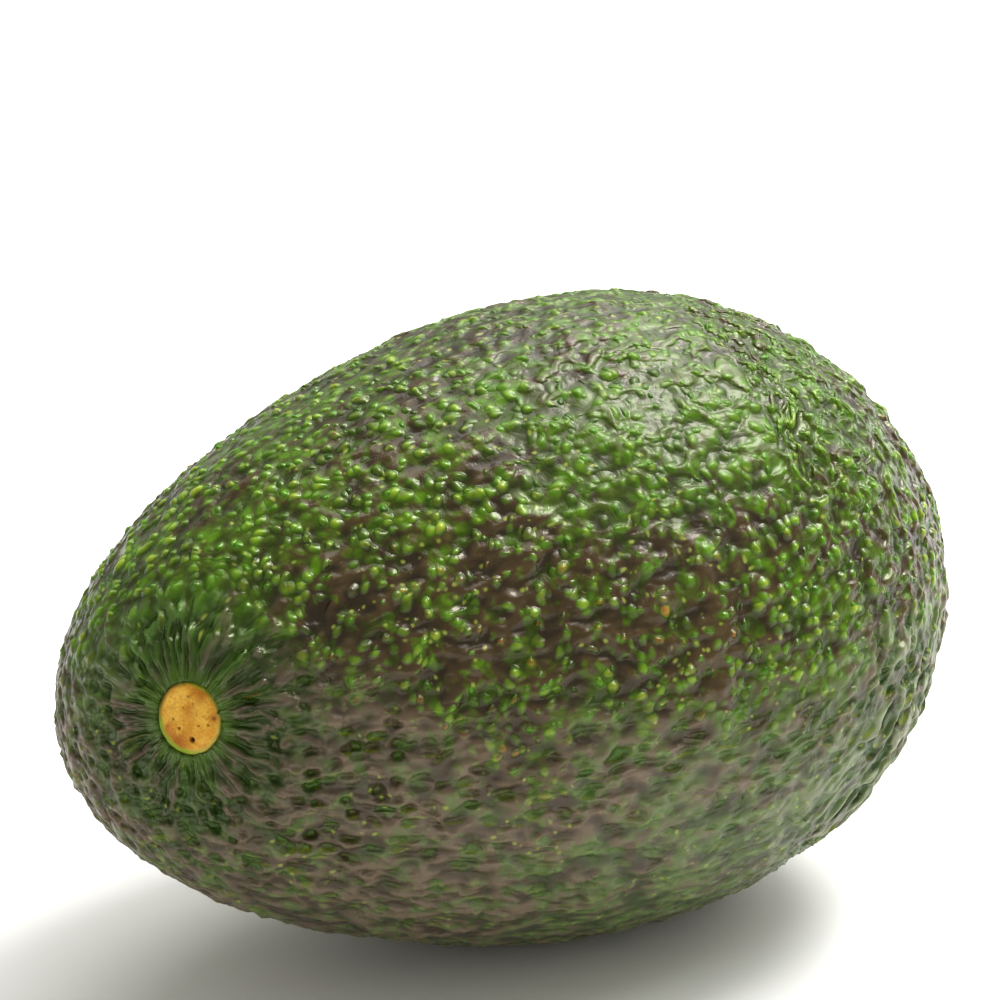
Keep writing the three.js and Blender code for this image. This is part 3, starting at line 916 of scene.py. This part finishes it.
# Stains in the stub's face: place across it and up it, radius in mm, and how strong.
STAINS = (
    (-2.2, -1.7, 1.7, 0.9),
    (-0.6, -2.4, 1.2, 0.6),
    (-2.9, 0.9, 0.9, 0.4),
    (2.2, 2.1, 1.3, 0.7),
    (0.7, 0.7, 1.3, 0.3),
    (-0.5, 3.0, 0.7, 0.6),
)
STAIN_STRAY = 2.4  # mm that a stain's edge strays by
CLOUDS, CORK_GRAIN = (1 / 1.6, 4.0, 0.6), (1 / 0.28, 3.0, 0.6)  # per mm, detail and roughness
CORK_ROUGHNESS, CORK_IOR = 0.62, 1.34
RAGGED = 0.7  # mm that the bark's edge strays in by
THICKER_BY = 0.5  # mm, on its thicker side
BARK_SIDES = {"thick": (-0.35, -0.94, 0.0), "dried": (0.85, -0.5, 0.0), "faded": (-0.6, 0.8, 0.0)}
FLATTEN = (1.0, 1.0, 0.0)  # drops the height, so that a place is read across the face
STAIN_WHOLE = 0.2  # a stain is whole at this share of its radius
PORE_DARK_START, PORE_DARK_WHOLE = 1.15, 0.4  # shares of a pore's radius where its darkening starts and is whole
PORE_DARK_LEAST, PORE_DARK_DEPTH = 0.35, 2.0  # how strong the pore's darkening is, and by how much more for each mm down
CORK_BUMP = 0.06 * MM  # the grain that is too fine for the mesh
# Masks of the cork and its bark, given in the same way, and not eased.
CORK_MASKS = (
    ("clouded", "cloud", 0.3, 0.7, 0.0, 1.0),
    ("specked", "grain", 0.5, 0.75, 0.0, 0.5),
    ("dried", "dried", 0.55, 0.95, 0.0, 1.0),
    ("faded", "faded", 0.3, 0.9, 0.0, 1.0),
    ("rim", "ragged", 3.5, 3.9, 0.0, 1.0),  # mm from the middle
)


def stub_material(colours):
    """Corky stem wood, clipped and dried: matt and finely grained, clouded ochre with sap stains
    and dark vessels, inside a thin rim of bark that is green, dried brown or faded by turns."""
    material, add = new_material("Corky stem wood, clipped and dried")
    at = add("Attribute", attribute_name="rest").outputs["Vector"]
    cloud = add("TexNoise", at, *CLOUDS)
    grain = add("TexNoise", at, *CORK_GRAIN)

    # The bark's edge round the face, thicker on one side.
    level = add("VectorMath.MULTIPLY", at, FLATTEN)
    way = add("VectorMath.NORMALIZE", level)
    parts = {name: add("VectorMath.DOT_PRODUCT", way, side) for name, side in BARK_SIDES.items()}
    thick = add("Math.MAXIMUM", parts["thick"], 0.0)
    ragged = add("Math.MULTIPLY_ADD", cloud, RAGGED, add("VectorMath.LENGTH", level))
    ragged = add("Math.MULTIPLY_ADD", thick, THICKER_BY, ragged)
    parts.update(cloud=cloud, grain=grain, ragged=ragged)
    add_masks(add, parts, CORK_MASKS, easing="LINEAR")
    bark = add("Mix", parts["dried"], colours.bark_green, colours.bark_dried, data_type="RGBA")
    bark = add("Mix", parts["faded"], bark, colours.bark_faded, data_type="RGBA")

    # Stains spread unevenly from a few spots, and the pores are darker the deeper they are.
    stray = add("VectorMath.ADD", cloud.outputs["Color"], CENTRING)
    stray = add("VectorMath.MULTIPLY_ADD", stray, (STAIN_STRAY, STAIN_STRAY, 0.0), at)
    stray = add("VectorMath.MULTIPLY", stray, FLATTEN)
    spots = [(stray, x, y, r, STAIN_WHOLE * r, share, colours.stain) for x, y, r, share in STAINS]
    for x, y, radius, depth in PORES:
        share = min(1.0, PORE_DARK_LEAST + PORE_DARK_DEPTH * depth)
        spots.append((level, x, y, PORE_DARK_START * radius, PORE_DARK_WHOLE * radius, share, colours.pore))
    coats = [(parts["clouded"], colours.cork_light), (parts["specked"], colours.speck)]
    for where, x, y, start, whole, share, over in spots:
        gap = add("VectorMath.DISTANCE", where, (x, y, 0.0))
        spot = add("MapRange", gap, start, whole, 0.0, share, interpolation_type="SMOOTHSTEP")
        coats.append((spot, over))

    coat = colours.cork_dark
    for share, over in (*coats, (parts["rim"], bark)):
        coat = add("Mix", share, coat, over, data_type="RGBA")
    bump = add("Bump", {"Height": grain, "Distance": CORK_BUMP, "Strength": 1.0})
    surface = {"Base Color": coat, "Roughness": CORK_ROUGHNESS, "IOR": CORK_IOR, "Normal": bump}
    add("OutputMaterial", add("BsdfPrincipled", surface))
    return material


PAPER_COLOUR, PAPER_ROUGHNESS = "#f4f4f2", 0.9


def sweep_material():
    """Matt paper sweep, coated: an even, pale ground without a gloss."""
    material, add = new_material("Matt paper sweep, coated")
    surface = {"Base Color": linear(PAPER_COLOUR), "Roughness": PAPER_ROUGHNESS}
    add("OutputMaterial", add("BsdfPrincipled", surface))
    return material


# ---- operators ----


def grown_object(name, tree, values, names):
    """The plain mesh object that a node tree makes with these values on its named inputs."""
    carrier = bpy.data.objects.new(name + "-carrier", bpy.data.meshes.new(name + "-carrier"))
    bpy.context.scene.collection.objects.link(carrier)
    modifier = carrier.modifiers.new("Nodes", "NODES")
    modifier.node_group = tree
    keys = {label: key for key, label in names.items()}
    for entry in tree.interface.items_tree:
        if entry.in_out == "INPUT":
            modifier[entry.identifier] = values[keys[entry.name]]
    carrier.update_tag()
    bpy.context.view_layer.update()
    evaluated = carrier.evaluated_get(bpy.context.evaluated_depsgraph_get())
    mesh = bpy.data.meshes.new_from_object(evaluated)
    bpy.data.objects.remove(carrier)
    if not mesh.polygons:
        raise RuntimeError("the node tree for " + name + " made no faces")
    mesh.name = name
    piece = bpy.data.objects.new(name, mesh)
    bpy.context.scene.collection.objects.link(piece)
    return piece


class AVOCADO_OT_skin(bpy.types.Operator):
    """Makes the fruit's pebbled skin"""

    bl_idname = "avocado.skin"
    bl_label = "Skin"

    def execute(self, context):
        scene = context.scene
        plan = Plan(scene.avocado_form)
        material = skin_material(scene.avocado_relief, scene.avocado_skin_colours)
        values, names = skin_inputs(plan, scene.avocado_relief)
        piece = grown_object("skin", skin_tree(plan, names, material), values, names)
        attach(piece, BODY)
        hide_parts("fruit")
        return {"FINISHED"}


class AVOCADO_OT_stub(bpy.types.Operator):
    """Makes the clipped stub of the stem"""

    bl_idname = "avocado.stub"
    bl_label = "Stem stub"

    def execute(self, context):
        scene = context.scene
        piece = bpy.data.objects.new("stub", stub_mesh(Plan(scene.avocado_form)))
        scene.collection.objects.link(piece)
        piece.data.materials.append(stub_material(scene.avocado_stub_colours))
        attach(piece, BODY)
        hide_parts("stem_button")
        return {"FINISHED"}


FLOOR_RADIUS, FLOOR_SIDES = 6.0, 128
ROOM_COLOUR, ROOM_STRENGTH = "#f4f2ea", 0.6
# Soft lights: name, place and size in metres, and power in watts. Each is turned to the fruit.
LIGHTS = (
    ("overhead softbox", (0.3, 0.12, 0.6), (0.9, 0.9), 6.5),
    ("key light", (0.34, 0.02, 0.6), (0.25, 0.25), 4.2),
    ("right panel", (0.9, 0.35, 0.08), (0.5, 0.22), 0.92),
)
CAMERA_AZIMUTH, CAMERA_ELEVATION = math.radians(-30.5), math.radians(20)
CAMERA_DISTANCE = 0.4073
FRAME_WIDTH, FOCAL = 1000, 3821.0  # pixels
FRUIT_IN_FRAME = Vector((506.5, 630.3))  # the pixel that the fruit's middle falls on
SENSOR = 36  # mm


class AVOCADO_OT_studio(bpy.types.Operator):
    """Makes the floor, the lights and the camera"""

    bl_idname = "avocado.studio"
    bl_label = "Studio"

    def execute(self, context):
        scene = context.scene
        bpy.ops.mesh.primitive_circle_add(vertices=FLOOR_SIDES, radius=FLOOR_RADIUS, fill_type="NGON")
        floor = context.object
        floor.name = "floor"
        floor.data.materials.append(sweep_material())

        world = bpy.data.worlds.new("Studio room")
        scene.world = world
        world.use_nodes = True
        room = world.node_tree.nodes["Background"].inputs
        room["Color"].default_value = linear(ROOM_COLOUR)
        room["Strength"].default_value = ROOM_STRENGTH

        target = Plan(scene.avocado_form).rest_pose.translation
        for name, location, size, power in LIGHTS:
            light = bpy.data.lights.new(name, "AREA")
            light.shape = "RECTANGLE"
            light.size, light.size_y = size
            light.energy = power
            holder = bpy.data.objects.new(name, light)
            scene.collection.objects.link(holder)
            holder.visible_camera = False
            holder.location = location
            holder.rotation_euler = (Vector(location) - target).to_track_quat("Z", "Y").to_euler()

        # The camera looks along its own -Z at the fruit's middle, then turns it off the frame's.
        right = Vector((math.cos(CAMERA_AZIMUTH), math.sin(CAMERA_AZIMUTH), 0))
        ahead = Vector((-right.y, right.x, 0))
        back = Vector((0, 0, math.sin(CAMERA_ELEVATION))) - ahead * math.cos(CAMERA_ELEVATION)
        up = back.cross(right)
        camera = bpy.data.cameras.new("camera")
        camera.sensor_width = SENSOR
        camera.lens = FOCAL / FRAME_WIDTH * SENSOR
        holder = bpy.data.objects.new("camera", camera)
        scene.collection.objects.link(holder)
        facing = Matrix((right, up, back)).transposed().to_4x4()
        pitch, yaw = ((FRUIT_IN_FRAME[i] - FRAME_WIDTH / 2) / FOCAL for i in (1, 0))
        turn = Matrix.Rotation(math.atan(pitch), 4, "X") @ Matrix.Rotation(math.atan(yaw), 4, "Y")
        holder.matrix_world = Matrix.Translation(target + back * CAMERA_DISTANCE) @ facing @ turn
        scene.camera = holder
        scene.view_settings.view_transform = "Standard"
        return {"FINISHED"}


# ---- the sidebar, and running it all ----

GROUPS = {
    "avocado_form": AvocadoForm,
    "avocado_relief": AvocadoRelief,
    "avocado_skin_colours": AvocadoSkinColours,
    "avocado_stub_colours": AvocadoStubColours,
}
OPERATORS = (AVOCADO_OT_studio, AVOCADO_OT_skin, AVOCADO_OT_stub)


class AVOCADO_PT_pieces(bpy.types.Panel):
    """Lists the avocado's sizes and colours, and the operators that make its pieces"""

    bl_idname = "AVOCADO_PT_pieces"
    bl_label = "Avocado"
    bl_space_type = "VIEW_3D"
    bl_region_type = "UI"
    bl_category = "Avocado"

    def draw(self, context):
        for operator in OPERATORS:
            self.layout.operator(operator.bl_idname)
        for name in GROUPS:
            box = self.layout.box()
            group = getattr(context.scene, name)
            for key in group.__annotations__:
                box.prop(group, key)


CLASSES = (*GROUPS.values(), *OPERATORS, AVOCADO_PT_pieces)


def register():
    for cls in CLASSES:
        bpy.utils.register_class(cls)
    for name, group in GROUPS.items():
        setattr(bpy.types.Scene, name, bpy.props.PointerProperty(type=group))


def unregister():
    for name in GROUPS:
        delattr(bpy.types.Scene, name)
    for cls in reversed(CLASSES):
        bpy.utils.unregister_class(cls)


def main():
    register()
    bpy.ops.avocado.studio()
    bpy.ops.avocado.skin()
    bpy.ops.avocado.stub()


if __name__ == "__main__":
    main()
